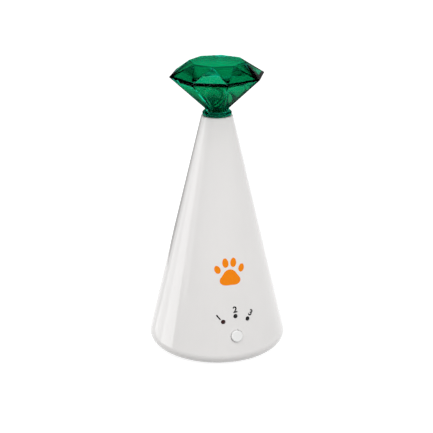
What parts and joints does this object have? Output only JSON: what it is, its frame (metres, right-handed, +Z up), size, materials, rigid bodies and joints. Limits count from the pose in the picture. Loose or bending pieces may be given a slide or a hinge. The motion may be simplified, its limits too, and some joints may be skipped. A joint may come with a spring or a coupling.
{
  "type": "automatic cat laser toy",
  "caption": "Tall cone-shaped pet toy with a rotating faceted transparent head that sweeps a laser spot, with a push button and indicator lights near its base.",
  "frame": {"origin": "centre of the base, on the surface that the feet stand on", "axes": "+Z up along the cone's axis, -Y towards the push button"},
  "size_m": [0.1, 0.1, 0.21],
  "materials": {
    "white_gloss": "glossy moulded",
    "white_button": "glossy moulded",
    "black_rubber": "matt",
    "green_gem": "clear tinted plastic",
    "clear_window": "clear plastic",
    "dark_lens": "glossy tinted epoxy",
    "steel": "satin",
    "spring_steel": "bright",
    "brass": "turned",
    "cell_wrap": "shrink sleeve",
    "board_green": "solder mask",
    "black_plastic": "moulded",
    "grey_plastic": "moulded",
    "gear_white": "acetal",
    "wire_red": "insulation",
    "mirror_glass": "front silvered",
    "fork_green": "moulded"
  },
  "bodies": {
    "base": {"cone_housing": "white_gloss", "base_cover": "white_gloss", "door_hinge_pin": "steel", "rubber_feet": "black_rubber", "base_screws": "steel", "battery_cells": "cell_wrap", "negative_contacts": "spring_steel", "positive_contacts": "spring_steel", "battery_wires": "wire_red", "circuit_board": "board_green", "board_screws": "steel", "control_chip": "black_plastic", "smoothing_capacitor": "black_plastic", "mode_switch": "black_plastic", "indicator_led_left": "dark_lens", "indicator_led_middle": "dark_lens", "indicator_led_right": "dark_lens", "lower_gear_plate": "grey_plastic", "upper_gear_plate": "grey_plastic", "frame_screws": "steel", "gear_axles": "steel", "motor_can": "steel", "motor_end_cap": "black_plastic", "motor_screws": "steel", "motor_wires": "wire_red", "laser_spindle": "grey_plastic", "thrust_washer": "steel", "laser_barrel": "brass", "laser_lens": "clear_window", "laser_wires": "wire_red", "neck_bush": "gear_white"},
    "head": {"head_shaft": "gear_white", "head_gear": "gear_white", "gem_pavilion": "green_gem", "gem_crown": "green_gem", "beam_window": "clear_window", "mirror_fork": "fork_green", "fork_screws": "steel"},
    "mirror_carrier": {"mirror_holder": "fork_green", "mirror": "mirror_glass"},
    "second_gear": {"second_reduction_gear": "gear_white"},
    "first_gear": {"first_reduction_gear": "gear_white"},
    "motor_rotor": {"motor_shaft": "steel", "motor_armature": "brass", "motor_pinion": "brass"},
    "button": {"mode_button": "white_button", "switch_plunger": "black_plastic"},
    "door": {"battery_door": "white_gloss"}
  },
  "joints": [
    {"name": "head_spin", "type": "hinge", "parent": "base", "child": "head", "pos_m": [0, 0, 0.1216], "axis": [0, 0, 1], "continuous": true},
    {"name": "second_gear_spin", "type": "hinge", "parent": "base", "child": "second_gear", "pos_m": [0, 0.014, 0.118], "axis": [0, 0, 1], "continuous": true},
    {"name": "first_gear_spin", "type": "hinge", "parent": "base", "child": "first_gear", "pos_m": [-0.0075, 0.01122, 0.115], "axis": [0, 0, 1], "continuous": true},
    {"name": "motor_spin", "type": "hinge", "parent": "base", "child": "motor_rotor", "pos_m": [-0.01034, 0.00374, 0.105], "axis": [0, 0, 1], "continuous": true},
    {"name": "mirror_tilt", "type": "hinge", "parent": "head", "child": "mirror_carrier", "pos_m": [0.00134, -0.00067, 0.1857], "axis": [0.4478, 0.8942, 0], "range_deg": [-5, 13]},
    {"name": "button_press", "type": "slide", "parent": "base", "child": "button", "axis": [0, 0.9729, -0.2313], "range_m": [0, 0.001], "stiffness_N_per_m": 800, "springref_m": -0.001},
    {"name": "door_hinge", "type": "hinge", "parent": "base", "child": "door", "pos_m": [-0.0269, 0.003, 0.0024], "axis": [0, 1, 0], "range_deg": [0, 90]}
  ],
  "couplings": [
    {"joint": "second_gear_spin", "follows": "head_spin", "ratio": -6},
    {"joint": "first_gear_spin", "follows": "head_spin", "ratio": 18},
    {"joint": "motor_spin", "follows": "head_spin", "ratio": -54}
  ]
}
